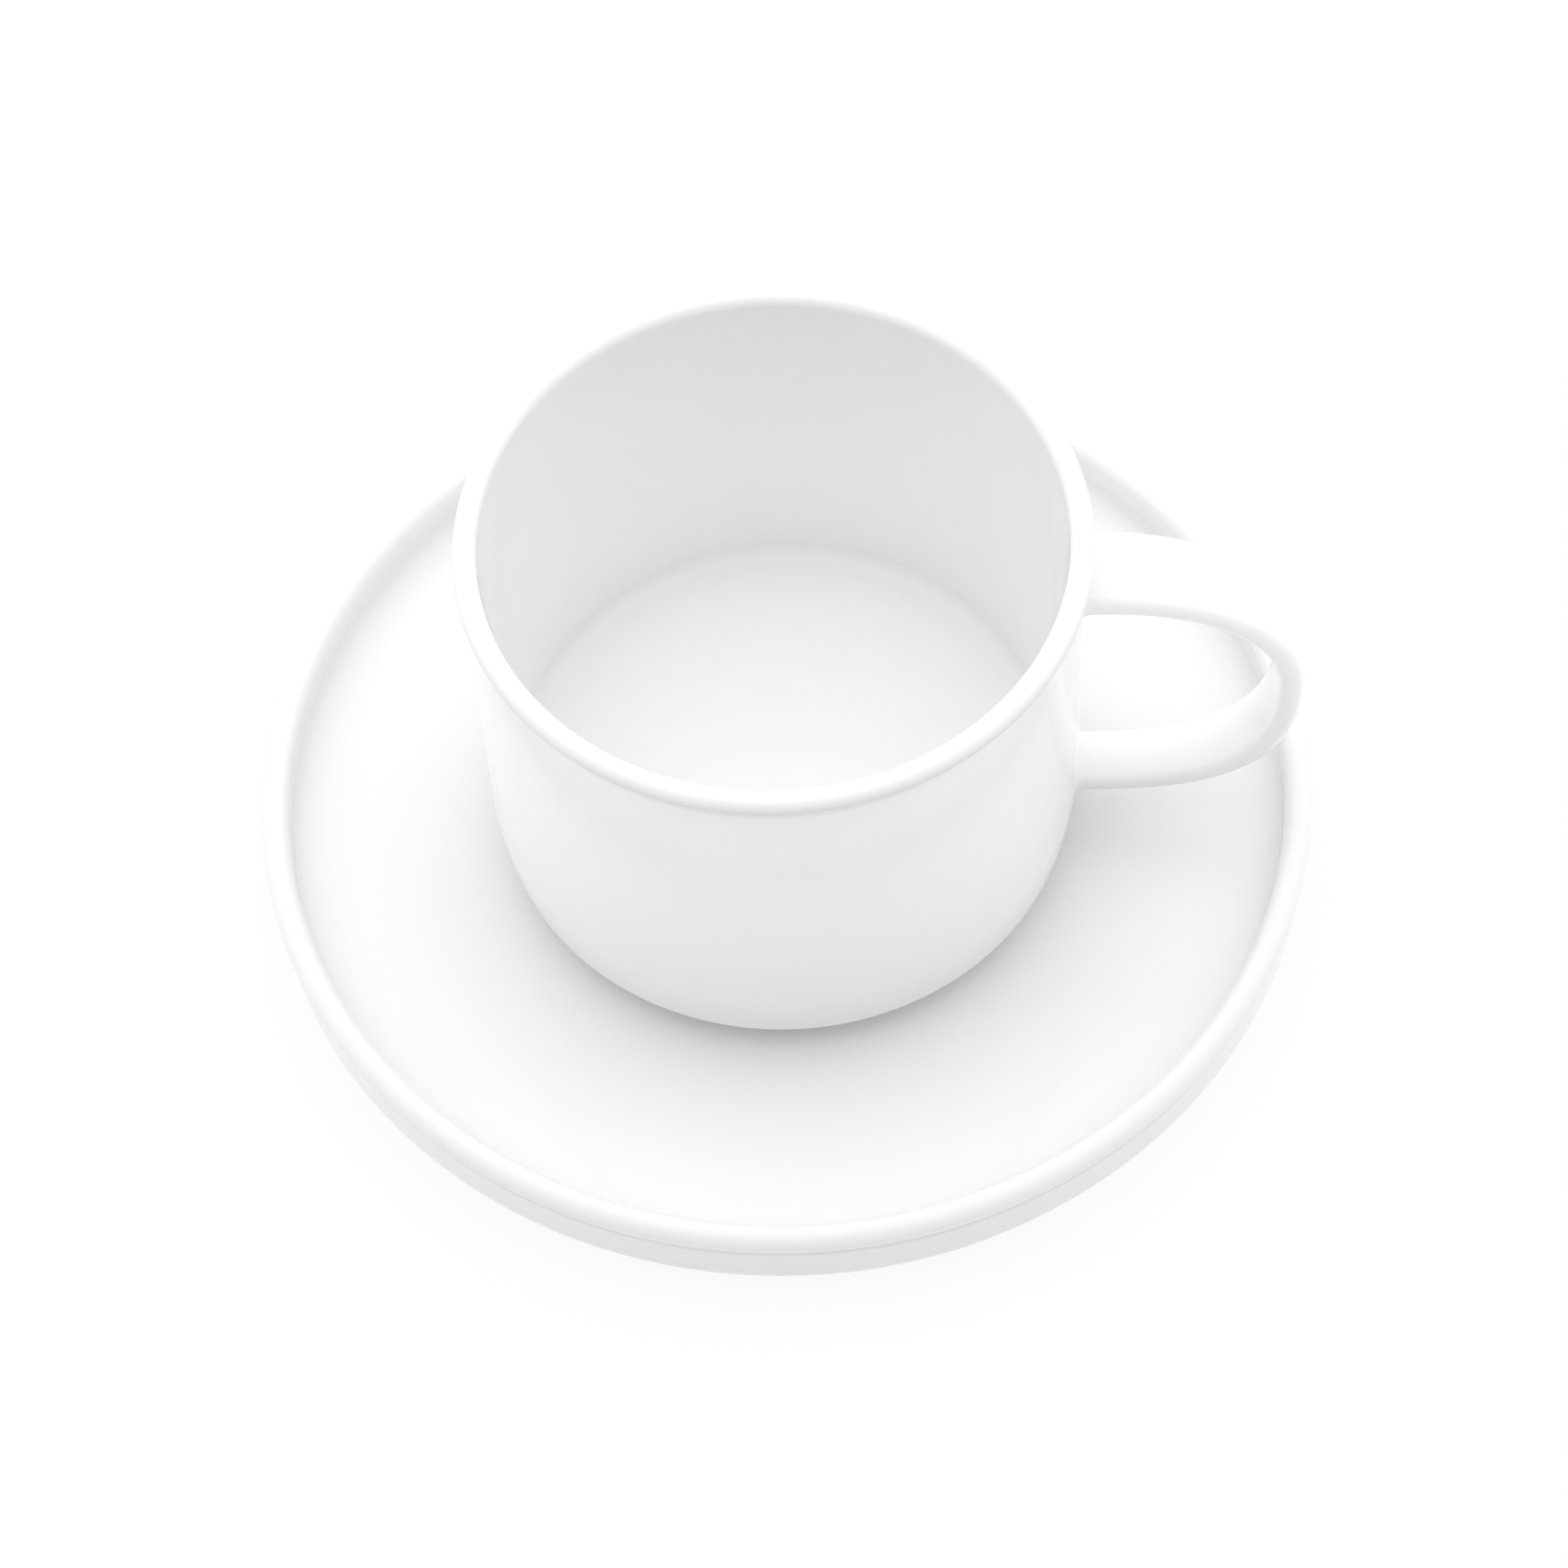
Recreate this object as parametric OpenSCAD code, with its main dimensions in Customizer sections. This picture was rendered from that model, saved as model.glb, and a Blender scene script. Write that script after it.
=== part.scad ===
// Espresso cup with saucer in white glazed porcelain.
// The saucer stands on its foot ring and the cup stands in the saucer's shallow well.
// A strap handle, wide at the top and narrower at the bottom, is luted to the cup's wall.
// Millimetres, +Z up, origin on the table under the middle, handle along +X.

/* [Saucer] */
// across the rounded rim
saucer_diameter = 115; // [112:0.5:120]
// table to the middle of the rounded rim
rim_height = 11.15; // [10.75:0.05:12.5]
// thickness of the rounded rim
rim_thickness = 2.9; // [2.6:0.1:3.4]
// how far the rim stands out past the wall below it
rim_overhang = 0.35; // [0.15:0.05:0.6]
// porcelain between the dish and the underside
floor_thickness = 3.65; // [3.4:0.05:4.2]
// inside fillet where the dish turns up into the wall
dish_fillet = 1.8; // [1:0.1:2.4]
// rounding of the bottom edge outside
outer_edge_radius = 2.75; // [2:0.25:3.25]
// across the outside of the foot ring
saucer_foot_diameter = 69; // [62:1:76]
// width of the foot ring
saucer_foot_width = 2.8; // [2.2:0.1:3.6]
// underside above the table
saucer_foot_height = 2.6; // [2.2:0.1:3]
// rounding of the foot ring's two lower edges
saucer_foot_edge = 0.8; // [0.4:0.1:1]
// fillets where the foot ring grows out of the underside
saucer_foot_fillet = 1.2; // [0.6:0.1:1.6]

/* [Well for the cup] */
// gap all round between the cup's foot and the edge of the well
well_clearance = 1.2; // [0.6:0.1:2]
// depth of the well in the dish
well_depth = 1; // [0.95:0.05:1.3]
// rounding of the well's upper edge
well_edge = 0.5; // [0.3:0.05:0.5]
// fillet in the bottom of the well
well_fillet = 0.4; // [0.2:0.05:0.4]

/* [Cup] */
// foot to the top of the lip
cup_height = 51.75; // [51:0.05:56]
// across the outside of the rolled lip
lip_diameter = 64.8; // [64.2:0.1:66]
// thickness of the rolled lip
lip_thickness = 2.3; // [2:0.1:2.6]
// hollow fillet from the lip down to the wall
lip_fillet = 3; // [2:0.1:4]
// across the wall just under the lip
neck_diameter = 62.4; // [62:0.1:63]
// across the widest part of the wall
belly_diameter = 63.8; // [63.2:0.1:64.6]
// the widest part above the cup's lower edge
belly_rise = 7; // [5:0.5:10]
// across the crisp lower edge
edge_diameter = 62.5; // [61.5:0.1:63]
// lower edge above the foot's standing face
edge_rise = 5.35; // [4.8:0.05:6]
// where the underside meets the foot, above the standing face
foot_root_rise = 3.75; // [3:0.05:4.2]
// across the outside of the cup's foot ring
cup_foot_diameter = 51.6; // [48:0.2:54]
// width of the cup's foot ring
cup_foot_width = 2.6; // [2:0.1:3.2]
// rounding of the foot ring's two lower edges
cup_foot_edge = 0.6; // [0.3:0.1:0.9]
// fillets where the foot ring meets the underside
cup_foot_fillet = 1.2; // [0.6:0.1:1.6]
// middle of the underside, inside the foot, above the standing face
base_rise = 4.75; // [4.4:0.05:5]
// inside floor above the standing face
inner_floor_rise = 7.8; // [7.2:0.1:9]
// fillet between the inside floor and the inside wall
inner_fillet = 1.4; // [1:0.1:2.5]
// how much the inside wall leans outwards, in degrees
inner_lean = 1.3; // [0.6:0.1:1.8]

/* [Handle] */
// axis of the cup to the outermost point of the handle
handle_reach = 55.2; // [53:0.1:55.8]
// thickness of the strap in the middle of its crowned faces
handle_thickness = 3.3; // [2.8:0.1:3.8]
// rounding of the strap's two edges, less than half its thickness
handle_edge = 1.3; // [1:0.05:1.35]
// width of the strap at the upper root
handle_top_width = 9.8; // [8.5:0.1:11]
// width of the strap at the lower root
handle_bottom_width = 6.9; // [6:0.1:8.4]
// middle of the upper root above the cup's standing face
handle_top_rise = 44.3; // [42:0.1:44.6]
// middle of the lower root above the cup's standing face
handle_bottom_rise = 8.9; // [8.6:0.1:11]
// height of the outermost point above the cup's standing face
handle_mid_rise = 27.3; // [25:0.1:30]
// straight part of each arm before its bend
handle_stub = 1; // [0.8:0.1:1.6]
// fullness of the upper bend, 2 is an ellipse and more is squarer
upper_fullness = 2.1; // [2:0.05:2.8]
// fullness of the lower bend
lower_fullness = 2.6; // [2:0.05:3]
// flare of the strap where it meets the wall
root_flare = 1; // [0.5:0.1:1.3]

/* [Hidden] */
$fn = 160;
// how far every cut runs on past the solid, and every fillet's skirt into it
overrun = 1;
// how deep the handle's roots are bedded in the wall
root_bed = 0.25;

// saucer, as radii and heights over the table
rim_r = saucer_diameter / 2 - rim_thickness / 2;
saucer_wall_r = saucer_diameter / 2 - rim_overhang;
dish_r = rim_r - rim_thickness / 2;
dish_floor = saucer_foot_height + floor_thickness;
saucer_foot_r = saucer_foot_diameter / 2;
saucer_foot_inner_r = saucer_foot_r - saucer_foot_width;

// cup, as radii and heights over the table
cup_foot_r = cup_foot_diameter / 2;
cup_foot_inner_r = cup_foot_r - cup_foot_width;
well_r = cup_foot_r + well_clearance;
cup_z = dish_floor - well_depth;
edge_z = cup_z + edge_rise;
edge_r = edge_diameter / 2;
belly_z = edge_z + belly_rise;
belly_r = belly_diameter / 2;
neck_r = neck_diameter / 2;
lip_bead = lip_thickness / 2;
lip_r = lip_diameter / 2 - lip_bead;
lip_z = cup_z + cup_height - lip_bead;
// the lip's fillet touches the wall below and the rolled lip above
lip_fillet_r = neck_r + lip_fillet;
lip_fillet_z = lip_z - sqrt(pow(lip_bead + lip_fillet, 2) - pow(lip_fillet_r - lip_r, 2));
neck_z = lip_fillet_z;
// arcs of the wall below and above its widest part
low_arc = arc_radius(belly_z - edge_z, belly_r - edge_r);
high_arc = arc_radius(neck_z - belly_z, belly_r - neck_r);
low_steps = 8;
high_steps = 18;
// underside between the foot ring and the lower edge
foot_root_z = cup_z + foot_root_rise;
under_slope = atan((edge_z - foot_root_z) / (edge_r - cup_foot_r));
base_z = cup_z + base_rise;
// inside: the leaning wall touches the lip above and the floor's fillet below
inner_top_r = lip_r - lip_bead * cos(inner_lean);
inner_top_z = lip_z + lip_bead * sin(inner_lean);
inner_floor_z = cup_z + inner_floor_rise;
inner_fillet_z = inner_floor_z + inner_fillet;
inner_touch_z = inner_fillet_z - inner_fillet * sin(inner_lean);
inner_touch_r = inner_top_r - (inner_top_z - inner_touch_z) * tan(inner_lean);
inner_floor_r = inner_touch_r - inner_fillet * cos(inner_lean);

// handle, a strap swept round a bend made of two squared ellipses
strap_half = handle_thickness / 2;
bend_x = belly_r + handle_stub;
bend_reach = handle_reach - strap_half - bend_x;
bend_z = cup_z + handle_mid_rise;
upper_half = handle_top_rise - handle_mid_rise;
lower_half = handle_mid_rise - handle_bottom_rise;
bend_steps = 64;
stub_steps = 5;
edge_points = 12;
crown_points = 3;
side_points = edge_points + crown_points;
ring_points = 2 * side_points;

// radius of the arc that leaves a vertical line by a sideways offset over a rise
function arc_radius(rise, offset) = (pow(rise, 2) + pow(offset, 2)) / (2 * offset);

// outside radius of the cup's wall at height z
function wall_r(z) =
    z < belly_z
        ? belly_r - low_arc + sqrt(pow(low_arc, 2) - pow(belly_z - z, 2))
        : belly_r - high_arc + sqrt(pow(high_arc, 2) - pow(z - belly_z, 2));

// the piece between a right-angled corner and the round that fits in it, with a skirt past
// both sides: added it makes an inside fillet, taken away it rounds an edge
module spandrel(radius) {
    difference() {
        translate([-overrun, -overrun])
            square(radius + overrun);
        translate([radius, radius])
            circle(r = radius);
    }
}

module saucer_outline() {
    difference() {
        union() {
            translate([0, saucer_foot_height])
                square([saucer_wall_r, floor_thickness]);
            translate([dish_r, saucer_foot_height])
                square([saucer_wall_r - dish_r, rim_height - saucer_foot_height]);
            translate([rim_r, rim_height])
                circle(r = rim_thickness / 2);
            translate([dish_r, dish_floor])
                mirror([1, 0])
                    spandrel(dish_fillet);
            translate([saucer_foot_inner_r, 0])
                square([saucer_foot_width, dish_floor - overrun]);
            translate([saucer_foot_r, saucer_foot_height])
                mirror([0, 1])
                    spandrel(saucer_foot_fillet);
            translate([saucer_foot_inner_r, saucer_foot_height])
                rotate(180)
                    spandrel(saucer_foot_fillet);
        }
        translate([saucer_wall_r, saucer_foot_height])
            mirror([1, 0])
                spandrel(outer_edge_radius);
        translate([saucer_foot_inner_r, 0])
            spandrel(saucer_foot_edge);
        translate([saucer_foot_r, 0])
            mirror([1, 0])
                spandrel(saucer_foot_edge);
        well_outline();
    }
}

// the shallow well that keeps the cup's foot in the middle of the dish
module well_outline() {
    difference() {
        translate([-overrun, cup_z])
            square([well_r + overrun, well_depth + overrun]);
        translate([well_r, cup_z])
            mirror([1, 0])
                spandrel(well_fillet);
    }
    translate([well_r, dish_floor])
        mirror([0, 1])
            spandrel(well_edge);
}

module saucer() {
    color([0.96, 0.96, 0.95])
        rotate_extrude()
            saucer_outline();
}

// the wall's outside from the crisp lower edge up to the lip, and the underside
module cup_outside() {
    low = [for (i = [0 : low_steps - 1]) edge_z + (belly_z - edge_z) * i / low_steps];
    high = [for (i = [0 : high_steps]) belly_z + (neck_z - belly_z) * i / high_steps];
    polygon(concat(
        [[0, base_z], [cup_foot_inner_r, base_z], [cup_foot_r, foot_root_z]],
        [for (z = concat(low, high)) [wall_r(z), z]],
        [[neck_r, inner_top_z], [0, inner_top_z]]
    ));
}

// the ring that the cup stands on
module cup_foot_outline() {
    difference() {
        translate([cup_foot_inner_r, cup_z])
            square([cup_foot_width, base_rise + overrun]);
        translate([cup_foot_inner_r, cup_z])
            spandrel(cup_foot_edge);
        translate([cup_foot_r, cup_z])
            mirror([1, 0])
                spandrel(cup_foot_edge);
    }
    translate([cup_foot_inner_r, base_z])
        rotate(180)
            spandrel(cup_foot_fillet);
    // outside, the fillet lies between the upright ring and the sloping underside
    middle_r = cup_foot_r + cup_foot_fillet;
    middle_z = foot_root_z + cup_foot_fillet * tan(under_slope) - cup_foot_fillet / cos(under_slope);
    touch = [
        middle_r - cup_foot_fillet * sin(under_slope),
        middle_z + cup_foot_fillet * cos(under_slope)
    ];
    difference() {
        polygon([
            [cup_foot_r - overrun, middle_z],
            [middle_r, middle_z],
            touch,
            [cup_foot_r - overrun, touch[1]]
        ]);
        translate([middle_r, middle_z])
            circle(r = cup_foot_fillet);
    }
}

// the space that holds the coffee
module cup_inside() {
    translate([-overrun, inner_floor_z])
        square([inner_floor_r + overrun, inner_fillet + overrun]);
    translate([inner_floor_r, inner_fillet_z])
        circle(r = inner_fillet);
    polygon([
        [-overrun, inner_fillet_z],
        [inner_floor_r, inner_fillet_z],
        [inner_touch_r, inner_touch_z],
        [inner_top_r + overrun * tan(inner_lean), inner_top_z + overrun],
        [-overrun, inner_top_z + overrun]
    ]);
}

// the fillet under the rolled lip, closed off inside the wall
module lip_fillet_outline() {
    difference() {
        polygon([
            [lip_r, lip_fillet_z],
            [lip_fillet_r, lip_fillet_z],
            [lip_r, lip_z]
        ]);
        translate([lip_fillet_r, lip_fillet_z])
            circle(r = lip_fillet);
    }
}

module cup_body() {
    color([0.97, 0.97, 0.96])
        rotate_extrude() {
            difference() {
                union() {
                    cup_outside();
                    cup_foot_outline();
                }
                cup_inside();
            }
            translate([lip_r, lip_z])
                circle(r = lip_bead);
            lip_fillet_outline();
        }
}

// a squared ellipse's share of its reach at an angle, for the fullness of that bend
function squared(share, fullness) = pow(abs(share), 2 / fullness);
function bend_fullness(angle) = angle < 90 ? upper_fullness : lower_fullness;
function bend_x_at(angle) = bend_x + bend_reach * squared(sin(angle), bend_fullness(angle));
function bend_z_at(angle) =
    angle < 90
        ? bend_z + upper_half * squared(cos(angle), upper_fullness)
        : bend_z - lower_half * squared(cos(angle), lower_fullness);

// outward normal of the squared ellipse, as an angle above the x axis
function bend_normal(angle) =
    let (
        n = bend_fullness(angle),
        half = angle < 90 ? upper_half : lower_half,
        nx = squared(sin(angle), n / (n - 1)) / bend_reach,
        nz = squared(cos(angle), n / (n - 1)) / half
    )
    atan2(angle < 90 ? nz : -nz, nx);

function strap_width(angle) = handle_top_width + (handle_bottom_width - handle_top_width) * angle / 180;

// one point of the strap's section, across the strap and through it, grown all round by the
// flare: first the round of one edge, then the crown of one face, which touches both edges
function section_point(i, width, grow) =
    let (
        side = i < side_points ? 1 : -1,
        step = i % side_points,
        edge_y = width / 2 - handle_edge,
        crown = strap_half - handle_edge,
        crown_r = handle_edge + arc_radius(edge_y, crown),
        slope = asin(edge_y / (crown_r - handle_edge)),
        turn = (90 - slope) * (2 * step / (edge_points - 1) - 1),
        lean = slope * (1 - 2 * (step - edge_points + 1) / (crown_points + 1)),
        edge = [edge_y, 0] + (handle_edge + grow) * [cos(turn), sin(turn)],
        face = [0, strap_half - crown_r] + (crown_r + grow) * [sin(lean), cos(lean)]
    )
    side * (step < edge_points ? edge : face);

// a ring of the strap at an angle of its bend
function bend_ring(angle) =
    let (normal = bend_normal(angle))
    [
        for (i = [0 : ring_points - 1])
            let (p = section_point(i, strap_width(angle), 0))
            [bend_x_at(angle) + p[1] * cos(normal), p[0], bend_z_at(angle) + p[1] * sin(normal)]
    ];

// a ring of the straight stub: share 0 is bedded in the cup's wall and follows it, share 1
// is flat where the bend starts, and the strap flares out towards the wall
function stub_ring(angle, share) =
    let (
        z = bend_z_at(angle),
        up = angle < 90 ? 1 : -1,
        length = bend_x - wall_r(z),
        from_wall = max(root_flare - share * length, 0),
        grow = root_flare - sqrt(pow(root_flare, 2) - pow(from_wall, 2))
    )
    [
        for (i = [0 : ring_points - 1])
            let (
                p = section_point(i, strap_width(angle), grow),
                height = z + up * p[1],
                bedded = sqrt(pow(wall_r(height) - root_bed, 2) - pow(p[0], 2))
            )
            [bedded * (1 - share) + bend_x * share, p[0], height]
    ];

// the middle of a root, in the face that lies in the wall
function root_middle(angle) = [wall_r(bend_z_at(angle)) - root_bed, 0, bend_z_at(angle)];

module handle() {
    stub_shares = [for (i = [0 : stub_steps - 1]) pow(i / stub_steps, 1.5)];
    rings = concat(
        [for (share = stub_shares) stub_ring(0, share)],
        [for (i = [0 : bend_steps]) bend_ring(180 * i / bend_steps)],
        [for (i = [stub_steps - 1 : -1 : 0]) stub_ring(180, stub_shares[i])]
    );
    points = concat(
        [for (ring = rings) for (p = ring) p],
        [root_middle(0), root_middle(180)]
    );
    last = len(rings) - 1;
    first_middle = len(rings) * ring_points;
    sides = [
        for (r = [0 : last - 1])
            for (i = [0 : ring_points - 1])
                let (
                    j = (i + 1) % ring_points,
                    a = r * ring_points,
                    b = a + ring_points
                )
                each [[a + i, b + i, a + j], [a + j, b + i, b + j]]
    ];
    upper_root = [
        for (i = [0 : ring_points - 1])
            [first_middle, i, (i + 1) % ring_points]
    ];
    lower_root = [
        for (i = [0 : ring_points - 1])
            let (a = last * ring_points)
            [first_middle + 1, a + (i + 1) % ring_points, a + i]
    ];
    color([0.97, 0.97, 0.96])
        polyhedron(points = points, faces = concat(sides, upper_root, lower_root), convexity = 4);
}

saucer();
cup_body();
handle();
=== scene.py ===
# %% [markdown]
# # An espresso cup with its saucer
# This lesson dresses a white porcelain espresso cup and its saucer. The construction and the
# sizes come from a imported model, the frame. Blender adds what the eye notices on such a plain
# object: true rounds on every edge, the thin uneven glaze, the bare foot rings, and a soft
# light that lets white stand on white.

# %% Load the frame
import bpy
import math
from mathutils import Matrix, Vector, noise


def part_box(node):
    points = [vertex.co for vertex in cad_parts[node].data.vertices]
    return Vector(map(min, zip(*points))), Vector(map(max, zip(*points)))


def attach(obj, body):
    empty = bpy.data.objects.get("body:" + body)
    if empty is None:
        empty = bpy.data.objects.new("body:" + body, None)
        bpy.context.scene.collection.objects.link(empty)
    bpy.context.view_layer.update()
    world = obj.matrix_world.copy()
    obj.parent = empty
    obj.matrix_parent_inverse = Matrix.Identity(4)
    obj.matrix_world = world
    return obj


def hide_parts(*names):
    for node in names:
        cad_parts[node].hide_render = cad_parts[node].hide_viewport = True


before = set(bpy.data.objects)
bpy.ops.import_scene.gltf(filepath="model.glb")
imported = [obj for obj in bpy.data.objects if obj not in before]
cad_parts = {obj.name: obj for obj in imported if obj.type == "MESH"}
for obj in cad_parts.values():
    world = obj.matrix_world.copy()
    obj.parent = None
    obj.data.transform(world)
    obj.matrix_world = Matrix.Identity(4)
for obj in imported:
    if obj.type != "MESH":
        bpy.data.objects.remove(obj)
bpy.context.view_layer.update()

# %% [markdown]
# ## Measuring the frame
# Every length below is written in millimetres times `mm`, because Blender works in metres.
# The large sizes are read from the frame's boxes, so the dressed pieces always sit where the
# solids are. Only what a box can't tell, such as a rounding or a wall, is written here.

# %% Sizes read from the frame
mm = 0.001
saucer_low, saucer_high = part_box("saucer")
cup_low, cup_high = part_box("cup_body")
handle_low, handle_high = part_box("handle")
saucer_r = round(saucer_high.x, 5)
lip_outer_r = round(cup_high.x, 5)
cup_z = round(cup_low.z, 5)
cup_top = round(cup_high.z, 5)
print(f"saucer {2 * saucer_r / mm:.1f} mm across, cup {2 * lip_outer_r / mm:.1f} mm")
print(f"the cup stands at {cup_z / mm:.2f} mm and ends at {cup_top / mm:.1f} mm")

# %% [markdown]
# ## Drawing half a section
# A turned piece is drawn as a potter's template: half of its section, as radius and height.
# Blender could revolve a curve with the Screw modifier, but a list of points lets each stretch
# carry its own finish. Corners are given as points with a rounding, and the arc that fits
# between the two straight stretches is worked out from the half angle at the corner.

# %% Rounded corners and arcs
STEP_DEGREES = 9


def arc(centre, radius, start, stop):
    """Points on a circle from one angle to another, in degrees, ends included."""
    steps = max(2, math.ceil(abs(stop - start) / STEP_DEGREES))
    angles = [math.radians(start + (stop - start) * i / steps) for i in range(steps + 1)]
    middle = Vector(centre)
    return [middle + radius * Vector((math.cos(a), math.sin(a))) for a in angles]


def rounded(corners):
    """Points along straight stretches whose corners (radius, height, rounding) are rounded."""
    points = []
    for i, (r, z, rounding) in enumerate(corners):
        here = Vector((r, z))
        if rounding == 0:
            points.append(here)
            continue
        back = (Vector(corners[i - 1][:2]) - here).normalized()
        on = (Vector(corners[i + 1][:2]) - here).normalized()
        half = back.angle(on) / 2
        centre = here + (back + on).normalized() * rounding / math.sin(half)
        first = here + back * rounding / math.tan(half) - centre
        last = here + on * rounding / math.tan(half) - centre
        start = math.degrees(math.atan2(first.y, first.x))
        turn = (math.degrees(math.atan2(last.y, last.x)) - start + 180) % 360 - 180
        points += arc(centre, rounding, start, start + turn)
    return points


print("a rounded corner has", len(rounded([(0, 0, 0), (1, 0, 0.2), (1, 1, 0)])), "points")

# %% [markdown]
# ## Turning a section into a piece
# The section is spun round the upright axis. Long straight stretches get extra rings, close
# together at their ends, so that smooth shading stays flat in the middle and turns only in the
# rounds. Porcelain shrinks by a seventh in the kiln and never quite evenly, so a slow noise
# draws the surface in by a few hundredths of a millimetre: too little to see as a shape, and
# just enough to bend a reflection. It only draws in, so the piece stays inside its real size.

# %% The lathe
LATHE_TURNS = 240
END_STEP = 0.15 * mm
LONG_STEP = 1.6 * mm
KILN_DRAW = 0.05 * mm
KILN_WAVES = 38
KILN_CONTRAST = 1.4


def spaced(points):
    """The section with extra points on its long straight stretches."""
    spread = [points[0]]
    for a, b in zip(points, points[1:]):
        length = (b - a).length
        if length > 6 * END_STEP:
            inner = length - 2 * END_STEP
            count = math.ceil(inner / LONG_STEP)
            places = [END_STEP + inner * i / count for i in range(count + 1)]
            spread += [a.lerp(b, place / length) for place in places]
        spread.append(b)
    return spread


def drawn_in(place, seed):
    """How far the kiln drew a point in, between nothing and KILN_DRAW."""
    wave = KILN_CONTRAST * noise.noise((place + Vector((seed, 0, 0))) * KILN_WAVES)
    return KILN_DRAW * (1 + max(-1.0, min(1.0, wave))) / 2


def smooth_piece(name, verts, faces, finish_of_face, finishes):
    """A smooth-shaded mesh object with a material for each finish."""
    mesh = bpy.data.meshes.new(name)
    mesh.from_pydata([tuple(v) for v in verts], [], faces)
    for finish in finishes:
        mesh.materials.append(finish)
    mesh.polygons.foreach_set("material_index", finish_of_face)
    mesh.polygons.foreach_set("use_smooth", [True] * len(faces))
    mesh.validate()
    piece = bpy.data.objects.new(name, mesh)
    bpy.context.scene.collection.objects.link(piece)
    return piece


def turned(name, section, is_bare, finishes, seed):
    """Spins a section, which starts and ends on the axis, into a closed piece."""
    rings = spaced(section)[1:-1]
    verts = [Vector((0, 0, section[0].y))]
    for r, z in rings:
        for k in range(LATHE_TURNS):
            a = 2 * math.pi * k / LATHE_TURNS
            place = Vector((r * math.cos(a), r * math.sin(a), z))
            shrink = drawn_in(place, seed) / max(r, KILN_DRAW)
            verts.append(Vector((place.x * (1 - shrink), place.y * (1 - shrink), z)))
    verts.append(Vector((0, 0, section[-1].y)))
    faces = []
    bare = []
    top = len(verts) - 1
    last = 1 + (len(rings) - 1) * LATHE_TURNS
    for k in range(LATHE_TURNS):
        n = (k + 1) % LATHE_TURNS
        faces.append((0, 1 + n, 1 + k))
        faces.append((top, last + k, last + n))
        bare += [0, 0]
    for i in range(len(rings) - 1):
        low = 1 + i * LATHE_TURNS
        high = low + LATHE_TURNS
        unglazed = int(is_bare((rings[i] + rings[i + 1]) / 2))
        for k in range(LATHE_TURNS):
            n = (k + 1) % LATHE_TURNS
            faces.append((low + k, low + n, high + n, high + k))
            bare.append(unglazed)
    piece = smooth_piece(name, verts, faces, bare, finishes)
    print(f"{name}: {len(faces)} faces from a section of {len(rings)} points")
    return piece


# %% [markdown]
# ## Shader maths as expressions
# A node tree is easier to read as a sum. `Wire` holds one socket, and adding, taking away or
# multiplying wires adds the Math nodes. `node` makes any other node: its type, its settings,
# then what goes into its sockets. A number that is the same all over stays out of the tree and
# is set on the shader itself.

# %% Wires
class Wire:
    """One output socket of a material's node tree."""

    def __init__(self, tree, socket=None):
        self.tree = tree
        self.socket = socket

    def node(self, kind, settings=None, sockets=None, output=0):
        """Adds a node, sets it, feeds its sockets and returns the wire of one output."""
        made = self.tree.nodes.new(kind)
        for name, value in (settings or {}).items():
            if name == "stops":
                self.set_stops(made.color_ramp, value)
            else:
                setattr(made, name, value)
        for name, value in (sockets or {}).items():
            if isinstance(value, Wire):
                self.tree.links.new(value.socket, made.inputs[name])
            else:
                made.inputs[name].default_value = value
        return Wire(self.tree, made.outputs[output])

    @staticmethod
    def set_stops(ramp, stops):
        while len(ramp.elements) < len(stops):
            ramp.elements.new(0.5)
        for element, (place, grey) in zip(ramp.elements, stops):
            element.position = place
            element.color = (grey, grey, grey, 1)

    def maths(self, operation, first, second):
        return self.node("ShaderNodeMath", {"operation": operation}, {0: first, 1: second})

    def __add__(self, other):
        return self.maths("ADD", self, other)

    __radd__ = __add__

    def __sub__(self, other):
        return self.maths("SUBTRACT", self, other)

    def __rsub__(self, other):
        return self.maths("SUBTRACT", other, self)

    def __mul__(self, other):
        return self.maths("MULTIPLY", self, other)

    __rmul__ = __mul__

    def mixed(self, low, high):
        """A colour between two, by this wire's value."""
        made = self.node("ShaderNodeMix", {"data_type": "RGBA"}, {"Factor": self})
        mixer = made.socket.node
        for name, value in (("A", low), ("B", high)):
            colour_input = [s for s in mixer.inputs if s.name == name and s.type == "RGBA"][0]
            if isinstance(value, Wire):
                self.tree.links.new(value.socket, colour_input)
            else:
                colour_input.default_value = value
        return Wire(self.tree, [s for s in mixer.outputs if s.type == "RGBA"][0])


def new_material(name):
    """An empty material with its output and principled shader, and a wire to build from."""
    material = bpy.data.materials.new(name)
    material.use_nodes = True
    tree = material.node_tree
    shader = tree.nodes["Principled BSDF"]
    return material, shader, Wire(tree)


def plug(wire, shader, name):
    """Connects a wire to a named input of the shader."""
    wire.tree.links.new(wire.socket, shader.inputs[name])


print("wires ready")
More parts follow.
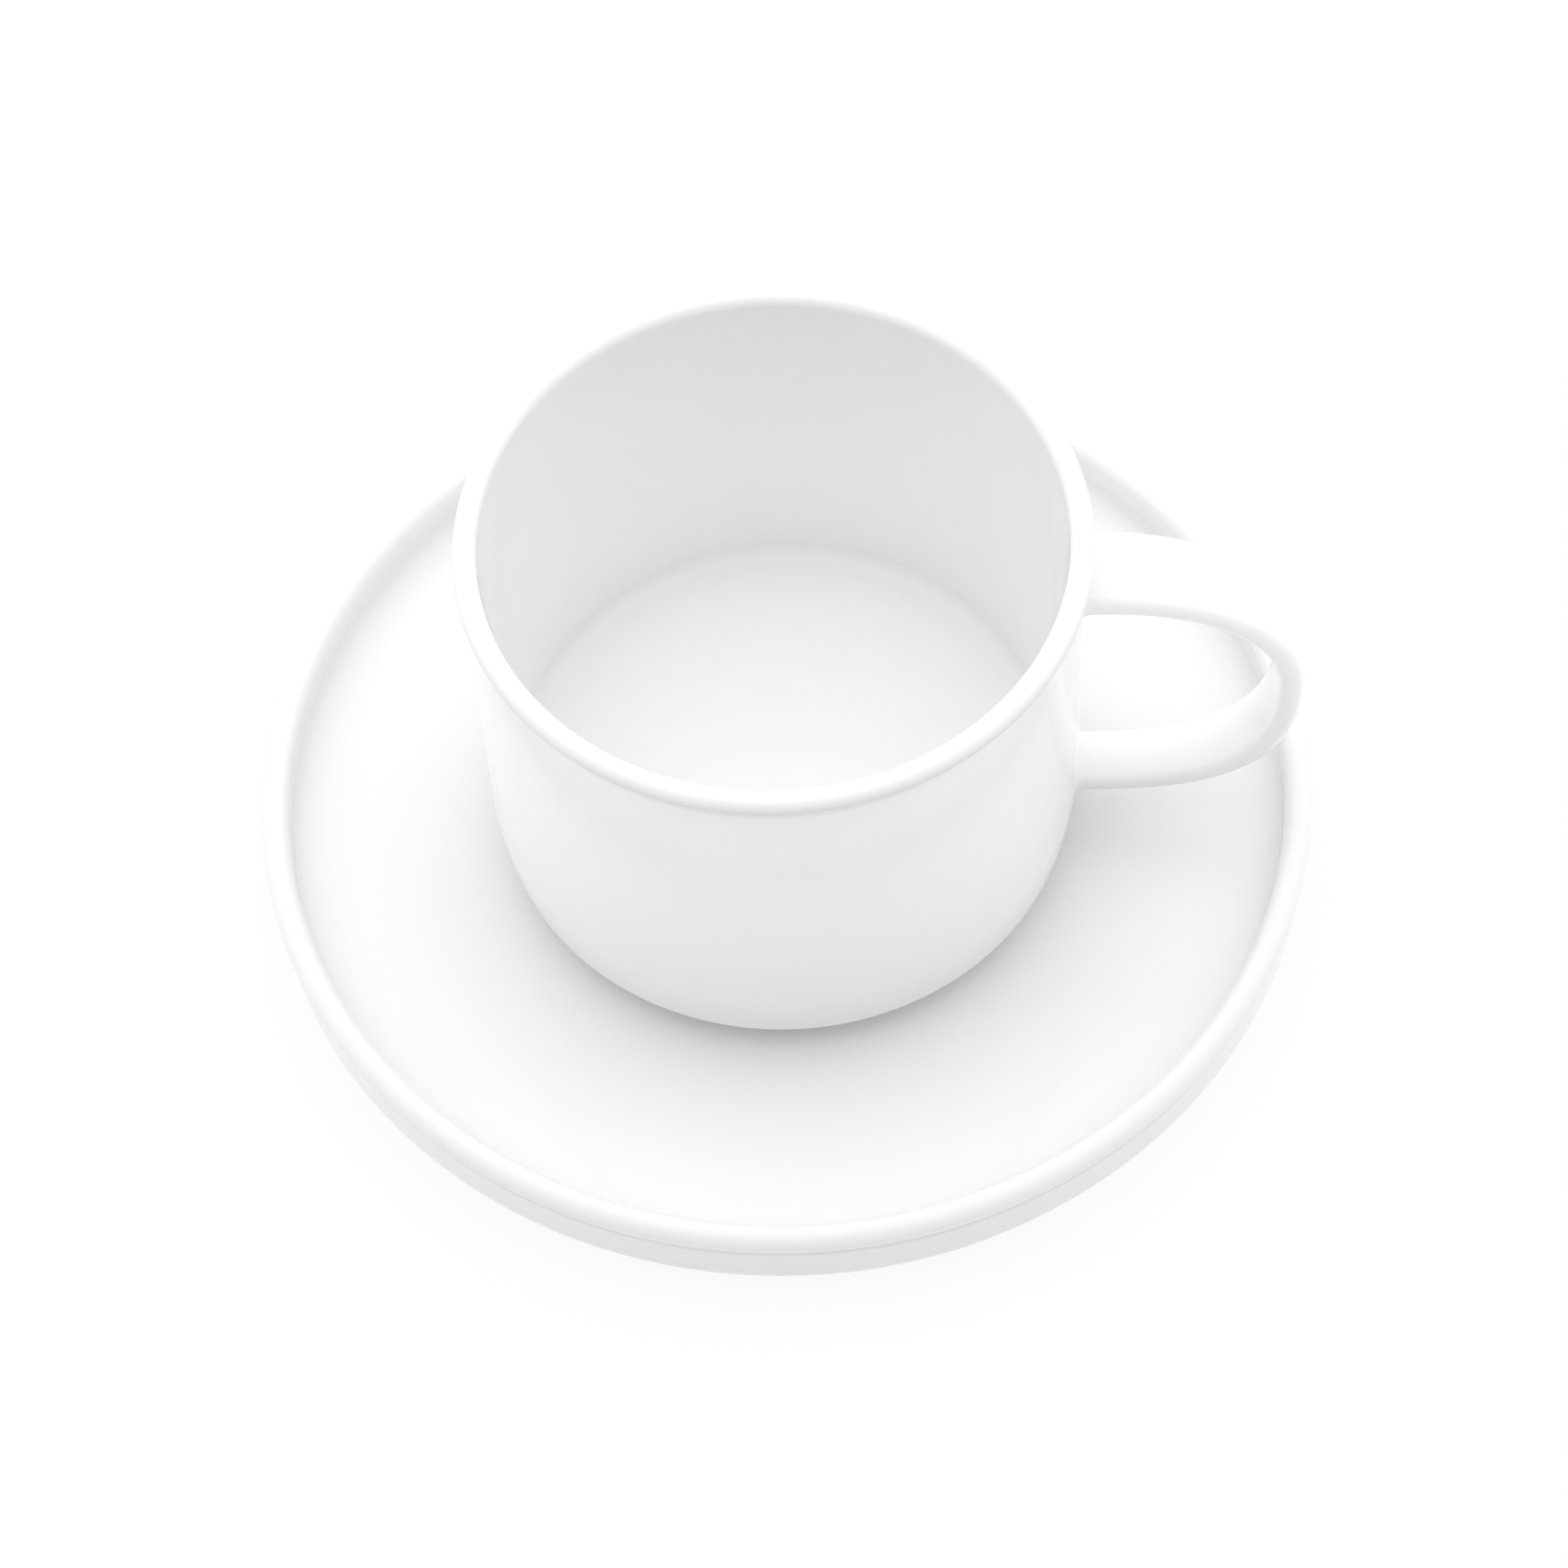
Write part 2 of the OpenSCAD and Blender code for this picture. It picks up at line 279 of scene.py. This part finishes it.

# %% [markdown]
# ## Glazed porcelain
# The glaze is a skin of glass about a tenth of a millimetre thick over a white body. It is smooth but
# not flat: it flows a little before it sets, which leaves a soft ripple some millimetres long and a
# faint orange peel below that. Its gloss changes slightly where it ran thin. The body's white shifts by
# a hundredth or two, and a rare pinhead of ash shows as a faint fleck. The cup is fired a little whiter
# than the saucer, as the photograph shows where the two catch the same light. Grey lines of painted
# shade darken the crease where a bead meets a wall and the corner where the underside meets the foot, as
# a line all round. All of this could be painted as an image; noise and heights in the piece's own space
# need no unwrapping and stay sharp at any distance.

# %% Glaze
CUP_WHITE = (0.975, 0.975, 0.971)
SAUCER_WHITE = (0.9, 0.9, 0.896)
CLOUD_SHARE = 0.985
CLOUD_SCALE = 55.0
# The grey that the painted shade lines mix in, darkening creases and hollows where shade falls.
PAINTED_SHADE_GREY = (0.68, 0.685, 0.68, 1)
FLECK_GREY = (0.78, 0.77, 0.75, 1)
FLECK_STRENGTH = 0.6
FLECK_SCALE = 95.0
FLECK_EDGE = [(0.012, 1.0), (0.03, 0.0)]
FLECK_PLACES_SCALE = 31.0
FLECK_PLACES = [(0.66, 0.0), (0.69, 1.0)]
PEEL_SCALE = 620.0
PEEL_DEPTH = 0.0025 * mm
GLOSS = 0.05
GLOSS_CLOUDS = 0.05
GLOSS_PEEL = 0.02
GLAZE_IOR = 1.52


def clouds(start, place, scale, detail):
    """A noise between 0 and 1."""
    sockets = {"Vector": place, "Scale": scale, "Detail": detail}
    return start.node("ShaderNodeTexNoise", None, sockets, "Fac")


def bumped(start, height, strength):
    """Normals bent by a height in metres."""
    return start.node("ShaderNodeBump", None, {"Height": height, "Strength": strength, "Distance": 1.0})


def painted_shade_line(start, place, depth, height, half_width, radius):
    """A line of painted shade round the piece: depth at its height, 0 from its half width on and inside
    radius.
    """
    level = start.node("ShaderNodeSeparateXYZ", None, {0: place}, "Z")
    flat = start.node("ShaderNodeVectorMath", {"operation": "MULTIPLY"}, {0: place, 1: (1, 1, 0)})
    from_axis = start.node("ShaderNodeVectorMath", {"operation": "LENGTH"}, {0: flat}, "Value")
    away = start.maths("ABSOLUTE", level - height, 0.0)
    line = start.node(
        "ShaderNodeMapRange", {"interpolation_type": "SMOOTHSTEP"},
        {"Value": away, "From Min": 0.0, "From Max": half_width, "To Min": 1.0, "To Max": 0.0},
    )
    return line * depth * start.maths("GREATER_THAN", from_axis, radius)


def glaze(name, seed, ripple, white, shade_lines=()):
    """White porcelain under clear glaze, with a line of painted shade for each of the shade lines."""
    clear = (*white, 1)
    cloudy = (*[level * CLOUD_SHARE for level in white], 1)
    material, shader, start = new_material(name)
    place = start.node("ShaderNodeTexCoord", output="Object")
    shift = start.node("ShaderNodeVectorMath", {"operation": "ADD"}, {0: place, 1: (seed, 0, 0)})
    slow = clouds(start, shift, CLOUD_SCALE, 2.0)
    peel = clouds(start, shift, PEEL_SCALE, 1.0)
    ash = start.node("ShaderNodeTexVoronoi", None, {"Vector": shift, "Scale": FLECK_SCALE}, "Distance")
    pick = clouds(start, shift, FLECK_PLACES_SCALE, 0.0)
    near = start.node("ShaderNodeValToRGB", {"stops": FLECK_EDGE}, {"Fac": ash})
    rare = start.node("ShaderNodeValToRGB", {"stops": FLECK_PLACES}, {"Fac": pick})
    fleck = near * rare
    colour = (fleck * FLECK_STRENGTH).mixed(slow.mixed(clear, cloudy), FLECK_GREY)
    # Each line mixes in the grey as painted shade.
    for shade_line in shade_lines:
        colour = painted_shade_line(start, place, **shade_line).mixed(colour, PAINTED_SHADE_GREY)
    plug(colour, shader, "Base Color")
    plug(GLOSS + slow * GLOSS_CLOUDS + peel * GLOSS_PEEL, shader, "Roughness")
    plug(bumped(start, slow * ripple + peel * PEEL_DEPTH, 1.0), shader, "Normal")
    shader.inputs["IOR"].default_value = GLAZE_IOR
    return material


# Painted shade: a grey line in the crease under the saucer's bead.
RIM_PAINTED_SHADE = {"depth": 0.5, "height": 9.85 * mm, "half_width": 0.75 * mm, "radius": 56.5 * mm}
# Painted shade: a grey band in the hollow under the cup's lip, on its outside.
LIP_PAINTED_SHADE = {"depth": 1.0, "height": cup_top - 2.2 * mm, "half_width": 2.2 * mm, "radius": 30.6 * mm}
# Painted shade: a grey band on the cup's underside near the foot, darkening the gap under the cup.
FOOT_PAINTED_SHADE = {"depth": 1.0, "height": cup_z + 3.9 * mm, "half_width": 1.5 * mm, "radius": 25.0 * mm}
saucer_glaze = glaze("saucer_glaze", 0.0, 0.06 * mm, SAUCER_WHITE, [RIM_PAINTED_SHADE])
cup_glaze = glaze("cup_glaze", 3.1, 0.05 * mm, CUP_WHITE, [LIP_PAINTED_SHADE, FOOT_PAINTED_SHADE])
handle_glaze = glaze("handle_glaze", 3.1, 0.03 * mm, CUP_WHITE)
print("glazes:", saucer_glaze.name, cup_glaze.name, handle_glaze.name)

# %% [markdown]
# ## Bare foot
# A piece would stick to the kiln shelf by its glaze, so the ring that it stands on is wiped
# clean before firing. Bare porcelain is matt, a little warmer, finely grained and slightly
# greyed where it rubs on the table.

# %% Unglazed porcelain
BISCUIT = (0.84, 0.83, 0.8, 1)
RUBBED = (0.7, 0.69, 0.66, 1)
RUBBED_SCALE = 140.0
RUBBED_PLACES = [(0.45, 0.0), (0.72, 1.0)]
GRAIN_SCALE = 2600.0
GRAIN_DEPTH = 0.02 * mm
GRAIN_STRENGTH = 0.8
MATT = 0.6
MATT_GRAIN = 0.2


def biscuit(name):
    """Matt unglazed porcelain."""
    material, shader, start = new_material(name)
    place = start.node("ShaderNodeTexCoord", output="Object")
    grain = clouds(start, place, GRAIN_SCALE, 3.0)
    smear = clouds(start, place, RUBBED_SCALE, 3.0)
    worn = start.node("ShaderNodeValToRGB", {"stops": RUBBED_PLACES}, {"Fac": smear})
    plug(worn.mixed(BISCUIT, RUBBED), shader, "Base Color")
    plug(MATT + grain * MATT_GRAIN, shader, "Roughness")
    plug(bumped(start, grain * GRAIN_DEPTH, GRAIN_STRENGTH), shader, "Normal")
    return material


bare_foot = biscuit("bare_foot")
print("bare ring:", bare_foot.name)

# %% [markdown]
# ## The saucer
# Its floor is flat, its wall short and upright, and its rim a round bead a little thicker than the wall.
# Underneath, a foot ring lifts it off the table, and on top a shallow well keeps the cup in the middle.
# The bead meets the wall in a crease that glaze has half filled, and a thin grey line of painted shade
# darkens that crease all round.

# %% Saucer
RIM_BEAD = 1.45 * mm
RIM_OVERHANG = 0.35 * mm
RIM_POOL = 0.35 * mm
DISH_FLOOR = 6.25 * mm
DISH_FILLET = 1.8 * mm
UNDERSIDE = 2.6 * mm
OUTER_EDGE = 2.75 * mm
SAUCER_FOOT_R = 34.5 * mm
SAUCER_FOOT_WIDTH = 2.8 * mm
SAUCER_FOOT_EDGE = 0.8 * mm
SAUCER_FOOT_FILLET = 1.2 * mm
WELL_R = 27.0 * mm
WELL_EDGE = 0.5 * mm
WELL_FILLET = 0.4 * mm
SAUCER_WIPED = 0.7 * mm

rim_z = saucer_high.z - RIM_BEAD
rim_r = saucer_r - RIM_BEAD
saucer_wall_r = saucer_r - RIM_OVERHANG
dish_r = rim_r - RIM_BEAD
# the glaze in the crease touches the wall and the bead
pool_r = saucer_wall_r + RIM_POOL
pool_drop = math.sqrt((RIM_BEAD + RIM_POOL) ** 2 - (pool_r - rim_r) ** 2)
pool_angle = math.degrees(math.atan2(pool_drop, rim_r - pool_r))
saucer_section = rounded([
    (0, UNDERSIDE, 0),
    (SAUCER_FOOT_R - SAUCER_FOOT_WIDTH, UNDERSIDE, SAUCER_FOOT_FILLET),
    (SAUCER_FOOT_R - SAUCER_FOOT_WIDTH, 0, SAUCER_FOOT_EDGE),
    (SAUCER_FOOT_R, 0, SAUCER_FOOT_EDGE),
    (SAUCER_FOOT_R, UNDERSIDE, SAUCER_FOOT_FILLET),
    (saucer_wall_r, UNDERSIDE, OUTER_EDGE),
    (saucer_wall_r, rim_z - pool_drop, 0),
])
saucer_section += arc((pool_r, rim_z - pool_drop), RIM_POOL, 180, pool_angle)[1:]
saucer_section += arc((rim_r, rim_z), RIM_BEAD, pool_angle - 180, 180)[1:]
saucer_section += rounded([
    (dish_r, rim_z, 0),
    (dish_r, DISH_FLOOR, DISH_FILLET),
    (WELL_R, DISH_FLOOR, WELL_EDGE),
    (WELL_R, cup_z, WELL_FILLET),
    (0, cup_z, 0),
])[1:]
saucer = turned(
    "saucer_dressed", saucer_section, lambda p: p.y < SAUCER_WIPED, [saucer_glaze, bare_foot], seed=0.0
)
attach(saucer, "saucer")
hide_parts("saucer")

# %% [markdown]
# ## The cup's body
# The wall leaves a crisp lower edge, swells by less than a millimetre and leans in again to the
# neck, so its sides look straight but catch the light softly. The lip is a rolled bead that
# hangs over a small hollow. Below the edge the underside slopes in to a foot ring that hides in
# the saucer's well. The wall's two long arcs leave the widest place upright, so one function
# gives the radius at any height, and the handle uses it too.

# %% Wall of the cup
LIP_BEAD = 1.22 * mm
LIP_HOLLOW = 0.8 * mm
NECK_R = 31.2 * mm
BELLY_R = 31.9 * mm
EDGE_R = 31.25 * mm
EDGE_Z = cup_z + 5.35 * mm
BELLY_Z = EDGE_Z + 7.0 * mm
lip_r = lip_outer_r - LIP_BEAD
lip_z = cup_top - LIP_BEAD
hollow_r = NECK_R + LIP_HOLLOW
hollow_z = lip_z - math.sqrt((LIP_BEAD + LIP_HOLLOW) ** 2 - (hollow_r - lip_r) ** 2)


def arc_radius(rise, offset):
    """Radius of the arc that leaves an upright line by an offset over a rise."""
    return (rise**2 + offset**2) / (2 * offset)


LOW_ARC = arc_radius(BELLY_Z - EDGE_Z, BELLY_R - EDGE_R)
HIGH_ARC = arc_radius(hollow_z - BELLY_Z, BELLY_R - NECK_R)


def wall_radius(z):
    """Outside radius of the cup's wall at a height."""
    bend = LOW_ARC if z < BELLY_Z else HIGH_ARC
    return BELLY_R - bend + math.sqrt(bend**2 - (z - BELLY_Z) ** 2)


print(f"wall arcs of {LOW_ARC / mm:.0f} and {HIGH_ARC / mm:.0f} mm, neck at {hollow_z / mm:.1f} mm")

# %% [markdown]
# ## The rest of the cup
# The section starts under the floor, goes round the foot ring, out along the underside and up
# the wall to the lip, and comes back down inside. The inside leans a little, because a cup has
# to leave its mould, and ends in a small fillet that a spoon can reach.

# %% Cup
CUP_FOOT_R = 25.8 * mm
CUP_FOOT_WIDTH = 2.6 * mm
CUP_FOOT_EDGE = 0.6 * mm
CUP_FOOT_FILLET = 1.2 * mm
FOOT_ROOT_Z = cup_z + 3.75 * mm
BASE_Z = cup_z + 4.75 * mm
EDGE_SOFT = 0.22 * mm
INNER_LEAN = math.radians(1.3)
INNER_FILLET = 1.4 * mm
INNER_FLOOR_Z = cup_z + 7.8 * mm
CUP_WIPED = cup_z + 0.55 * mm
WALL_STEPS = 40

inner_top_r = lip_r - LIP_BEAD * math.cos(INNER_LEAN)
inner_top_z = lip_z + LIP_BEAD * math.sin(INNER_LEAN)
inner_corner_r = inner_top_r - (inner_top_z - INNER_FLOOR_Z) * math.tan(INNER_LEAN)
wall_heights = [EDGE_Z + (hollow_z - EDGE_Z) * i / WALL_STEPS for i in range(1, WALL_STEPS)]
hollow_angle = math.degrees(math.atan2(lip_z - hollow_z, lip_r - hollow_r))
cup_section = rounded([
    (0, BASE_Z, 0),
    (CUP_FOOT_R - CUP_FOOT_WIDTH, BASE_Z, CUP_FOOT_FILLET),
    (CUP_FOOT_R - CUP_FOOT_WIDTH, cup_z, CUP_FOOT_EDGE),
    (CUP_FOOT_R, cup_z, CUP_FOOT_EDGE),
    (CUP_FOOT_R, FOOT_ROOT_Z, CUP_FOOT_FILLET),
    (EDGE_R, EDGE_Z, EDGE_SOFT),
    (wall_radius(wall_heights[0]), wall_heights[0], 0),
])
cup_section += [Vector((wall_radius(z), z)) for z in wall_heights[1:]]
cup_section += arc((hollow_r, hollow_z), LIP_HOLLOW, 180, hollow_angle)
cup_section += arc((lip_r, lip_z), LIP_BEAD, hollow_angle - 180, 180 - math.degrees(INNER_LEAN))[1:]
cup_section += rounded([
    (inner_top_r, inner_top_z, 0),
    (inner_corner_r, INNER_FLOOR_Z, INNER_FILLET),
    (0, INNER_FLOOR_Z, 0),
])[1:]
cup = turned(
    "cup_dressed", cup_section, lambda p: p.y < CUP_WIPED, [cup_glaze, bare_foot], seed=5.0
)
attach(cup, "cup")
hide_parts("cup_body")

# %% [markdown]
# ## The handle
# The handle is a strap, wide where it leaves the wall near the top and narrower where it comes
# back near the bottom. Seen from the side its line is not a circle: the upper bend is close to
# an ellipse and the lower one squarer. A squared ellipse has one number for that fullness, so
# the whole line is two of them, joined at the outermost point. A curve object with a bevel
# could sweep it, but then the section could not change from a broad strap to a slim one, nor
# flare where it is luted to the wall.

# %% The line of the handle
STRAP_HALF = 1.65 * mm
TOP_WIDTH = 9.8 * mm
BOTTOM_WIDTH = 6.9 * mm
STUB = 1.0 * mm
TOP_Z = cup_z + 44.3 * mm
MID_Z = cup_z + 27.3 * mm
BOTTOM_Z = cup_z + 8.9 * mm
UPPER_FULLNESS = 2.1
LOWER_FULLNESS = 2.6
DENSE = 4000
STATIONS = 110
bend_x = BELLY_R + STUB
bend_reach = handle_high.x - STRAP_HALF - bend_x


def bend_point(angle):
    """Centre line of the strap, and its outward normal, at an angle from top to bottom root."""
    upper = angle < math.pi / 2
    full = UPPER_FULLNESS if upper else LOWER_FULLNESS
    height = TOP_Z - MID_Z if upper else MID_Z - BOTTOM_Z
    side = 1 if upper else -1
    across = abs(math.sin(angle)) ** (2 / full)
    along = abs(math.cos(angle)) ** (2 / full)
    centre = Vector((bend_x + bend_reach * across, 0, MID_Z + side * height * along))
    normal = Vector((across ** (full - 1) / bend_reach, 0, side * along ** (full - 1) / height))
    return centre, normal.normalized()


def even_stations(count):
    """Angles that cut the line of the handle into equal lengths."""
    angles = [math.pi * i / DENSE for i in range(DENSE + 1)]
    centres = [bend_point(a)[0] for a in angles]
    run = [0.0]
    for a, b in zip(centres, centres[1:]):
        run.append(run[-1] + (b - a).length)
    chosen = []
    at = 0
    for k in range(count + 1):
        while at < DENSE and run[at] < run[-1] * k / count:
            at += 1
        chosen.append(angles[at])
    return chosen, run[-1]


stations, strap_length = even_stations(STATIONS)
print(f"the strap's bend is {strap_length / mm:.1f} mm long")

# %% [markdown]
# ## Sweeping the strap
# Each station carries one ring of points. The section is a flattened oval made of four arcs:
# a small one round each edge and a large one over each face, which touch without a corner, so
# the broad face catches a slow gradient. Near the wall the ring grows along a quarter circle,
# the fillet of slip that was wiped into the joint, and leans back to lie on the round wall.

# %% Handle
ROOT_FILLET = 1.0 * mm
ROOT_BED = 0.2 * mm
STRAP_EDGE = 1.3 * mm
EDGE_POINTS = 15
FACE_POINTS = 10
ROOT_STEPS = 8


def strap_ring(width, grow):
    """Points (across, through) once round the strap's section."""
    edge_y = width / 2 - STRAP_EDGE
    face_r = STRAP_EDGE + arc_radius(edge_y, STRAP_HALF - STRAP_EDGE)
    slope = math.asin(edge_y / (face_r - STRAP_EDGE))
    ring = []
    for side in (1, -1):
        for i in range(EDGE_POINTS):
            turn = (math.pi / 2 - slope) * (2 * i / (EDGE_POINTS - 1) - 1)
            reach = STRAP_EDGE + grow
            ring.append((side * (edge_y + reach * math.cos(turn)), side * reach * math.sin(turn)))
        for i in range(1, FACE_POINTS):
            lean = slope * (1 - 2 * i / FACE_POINTS)
            reach = face_r + grow
            through = STRAP_HALF - face_r + reach * math.cos(lean)
            ring.append((side * reach * math.sin(lean), side * through))
    return ring


def strap_width(angle):
    """Width of the strap, from the broad upper root to the slim lower one."""
    return TOP_WIDTH + (BOTTOM_WIDTH - TOP_WIDTH) * angle / math.pi


def bend_ring(angle):
    """A ring square to the line of the handle."""
    centre, normal = bend_point(angle)
    return [centre + Vector((0, y, 0)) + normal * h for y, h in strap_ring(strap_width(angle), 0)]


def root_ring(angle, turn):
    """A ring of the fillet: turn 0 lies in the wall and a quarter turn is clear of it."""
    centre, normal = bend_point(angle)
    away = ROOT_FILLET * (1 - math.cos(turn))
    grow = ROOT_FILLET * (1 - math.sin(turn))
    share = away / (bend_x - wall_radius(centre.z))
    ring = []
    for y, h in strap_ring(strap_width(angle), grow):
        z = centre.z + normal.z * h
        on_wall = math.sqrt((wall_radius(z) - ROOT_BED * math.cos(turn)) ** 2 - y**2)
        ring.append(Vector((on_wall + away + share * (wall_radius(centre.z) - on_wall), y, z)))
    return ring


turns = [math.pi / 2 * i / ROOT_STEPS for i in range(ROOT_STEPS)]
strap_rings = [root_ring(0, t) for t in turns]
strap_rings += [bend_ring(a) for a in stations]
strap_rings += [root_ring(math.pi, t) for t in reversed(turns)]
ring_size = len(strap_rings[0])
strap_verts = [v for ring in strap_rings for v in ring]
strap_faces = []
for r in range(len(strap_rings) - 1):
    for i in range(ring_size):
        j = (i + 1) % ring_size
        near, far = r * ring_size, (r + 1) * ring_size
        strap_faces.append((near + i, near + j, far + j, far + i))
strap_faces.append(tuple(reversed(range(ring_size))))
strap_faces.append(tuple(range(len(strap_verts) - ring_size, len(strap_verts))))
handle = smooth_piece("handle_dressed", strap_verts, strap_faces, [0] * len(strap_faces), [handle_glaze])
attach(handle, "cup")
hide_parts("handle")
print(f"handle: {len(strap_faces)} faces")

# %% [markdown]
# ## White table, white tent
# White porcelain in front of white needs a background that is white by its own colour, not by
# more light. The table is a pale floor: to the camera and to reflections nine tenths of it glow
# at exactly white, and the rest is an ordinary matt surface, so a soft shadow round the foot
# stays. For the light that it throws back on the cup it is matt altogether. Around it stands a
# light tent, brightest at the back and overhead. Low in front, towards the camera, it is open
# and the room behind is dim, so the front of the cup is the darkest of its faces and the gap
# under it darker still. The world could be an image of such a tent; a ramp along one leaning
# axis says the same with two levels, and lights the part the same from any distance.

# %% Floor and world
FLOOR_HALF = 3.0
FLOOR_GLOW = 0.9
FLOOR_WHITE = (0.94, 0.94, 0.94, 1)
FLOOR_ROUGHNESS = 0.8
TENT_LEVEL = 1.48
OPENING_LEVEL = 0.34
OPENING_TILT = math.radians(50)
OPENING_START = 0.8
OPENING_END = -0.34


def seen_directly(start):
    """1 for camera, mirror and glass rays, 0 for the light that falls on things."""
    camera = start.node("ShaderNodeLightPath", output="Is Camera Ray")
    mirror = Wire(start.tree, camera.socket.node.outputs["Is Glossy Ray"])
    glass = Wire(start.tree, camera.socket.node.outputs["Is Transmission Ray"])
    return start.node("ShaderNodeClamp", None, {"Value": camera + mirror + glass})


def white_floor():
    """The table, which belongs to the picture and not to the part."""
    half = FLOOR_HALF
    mesh = bpy.data.meshes.new("table")
    corners = [(-half, -half, 0), (half, -half, 0), (half, half, 0), (-half, half, 0)]
    mesh.from_pydata(corners, [], [(0, 1, 2, 3)])
    floor = bpy.data.objects.new("table", mesh)
    bpy.context.scene.collection.objects.link(floor)
    material, shader, start = new_material("white_table")
    shader.inputs["Base Color"].default_value = FLOOR_WHITE
    shader.inputs["Roughness"].default_value = FLOOR_ROUGHNESS
    glow = start.node("ShaderNodeEmission", None, {"Strength": 1.0})
    surface = start.node(
        "ShaderNodeMixShader", None,
        {0: seen_directly(start) * FLOOR_GLOW, 1: Wire(start.tree, shader.outputs[0]), 2: glow},
    )
    start.tree.links.new(surface.socket, start.tree.nodes["Material Output"].inputs["Surface"])
    mesh.materials.append(material)


def white_world():
    """White to the camera, and a light tent with a dim opening to everything else."""
    world = bpy.data.worlds.new("white_room")
    bpy.context.scene.world = world
    world.use_nodes = True
    start = Wire(world.node_tree)
    direction = start.node("ShaderNodeTexCoord", output="Generated")
    towards_back = start.node("ShaderNodeSeparateXYZ", None, {0: direction}, "Y")
    up = Wire(start.tree, towards_back.socket.node.outputs["Z"])
    opening = start.node(
        "ShaderNodeMapRange", {"interpolation_type": "SMOOTHSTEP"},
        {
            "Value": towards_back * math.cos(OPENING_TILT) + up * math.sin(OPENING_TILT),
            "From Min": OPENING_START,
            "From Max": OPENING_END,
        },
    )
    white = {"Color": (1, 1, 1, 1)}
    tent = start.node("ShaderNodeBackground", None, {**white, "Strength": TENT_LEVEL})
    dim = start.node("ShaderNodeBackground", None, {**white, "Strength": OPENING_LEVEL})
    plain = start.node("ShaderNodeBackground", None, {**white, "Strength": 1.0})
    light = start.node("ShaderNodeMixShader", None, {0: opening, 1: tent, 2: dim})
    surface = start.node("ShaderNodeMixShader", None, {0: seen_directly(start), 1: light, 2: plain})
    start.tree.links.new(surface.socket, start.tree.nodes["World Output"].inputs["Surface"])


white_floor()
white_world()
print("floor and room are white to the camera")

# %% [markdown]
# ## Studio light
# The tent gives nearly all of the light, and light from all sides leaves hardly a shadow. One
# weak soft box hangs over the table, wider than deep. It lifts what faces up, such as the dish
# and the cup's inside floor, and firms the shadow under the cup. The lamp is given by the level
# of light that arrives, so it can be moved away without getting weaker.

# %% Lamps
LAMP_AIM = Vector((0, 0, 30 * mm))


def softbox(name, azimuth, elevation, distance, width, depth, level):
    """An area lamp that gives about its level as light on a surface that faces it."""
    a = math.radians(azimuth)
    e = math.radians(elevation)
    direction = Vector((math.cos(e) * math.cos(a), math.cos(e) * math.sin(a), math.sin(e)))
    lamp = bpy.data.lights.new(name, "AREA")
    lamp.shape = "RECTANGLE"
    lamp.size = width
    lamp.size_y = depth
    lamp.energy = level * math.pi * math.pi * distance**2
    box = bpy.data.objects.new(name, lamp)
    box.location = LAMP_AIM + direction * distance
    across = Vector((1, 0, 0))
    along = direction.cross(across)
    box.rotation_euler = Matrix((across, along, direction)).transposed().to_euler()
    bpy.context.scene.collection.objects.link(box)
    print(f"{name}: {lamp.energy:.2f} W")


softbox("overhead", azimuth=270, elevation=87.7, distance=1.2, width=1.0, depth=0.62, level=0.04)

# %% [markdown]
# ## Camera
# The photograph looks down at about 58 degrees through a short telephoto lens, from a little to
# the side, so that the handle points slightly towards the viewer. The camera is given by the
# numbers a photographer would use: distance, height angle, tilt and lens.

# %% Camera
CAMERA_DISTANCE = 8.0 * saucer_r
CAMERA_ELEVATION = 1.005982
CAMERA_PITCH = 1.007452
CAMERA_YAW = -7.778516e-04
CAMERA_ROLL = -5.416305e-02
CAMERA_SIDE = math.radians(3.0)
FOCAL_PIXELS = 5165.179
PHOTO_PIXELS = 1932
SENSOR = 36.0


def photo_camera():
    """The camera that took the photograph, as its outlines give it."""
    place = Vector((0, -math.cos(CAMERA_ELEVATION), math.sin(CAMERA_ELEVATION))) * CAMERA_DISTANCE
    forward = Vector((
        math.sin(CAMERA_YAW) * math.cos(CAMERA_PITCH),
        math.cos(CAMERA_YAW) * math.cos(CAMERA_PITCH),
        -math.sin(CAMERA_PITCH),
    ))
    right = forward.cross(Vector((0, 0, 1))).normalized()
    up = right.cross(forward)
    rolled_right = math.cos(CAMERA_ROLL) * right + math.sin(CAMERA_ROLL) * up
    rolled_up = -math.sin(CAMERA_ROLL) * right + math.cos(CAMERA_ROLL) * up
    turn = Matrix((rolled_right, rolled_up, -forward)).transposed().to_4x4()
    data = bpy.data.cameras.new("photo_camera")
    data.sensor_width = SENSOR
    data.lens = FOCAL_PIXELS / PHOTO_PIXELS * SENSOR
    camera = bpy.data.objects.new("photo_camera", data)
    stand = Matrix.Rotation(CAMERA_SIDE, 4, "Z") @ Matrix.Translation(place) @ turn
    camera.matrix_world = Matrix.Translation(Vector((0, 0, rim_z))) @ stand
    bpy.context.scene.collection.objects.link(camera)
    bpy.context.scene.camera = camera
    return data


print(f"camera lens {photo_camera().lens:.1f} mm")
bpy.context.scene.view_settings.view_transform = "Standard"
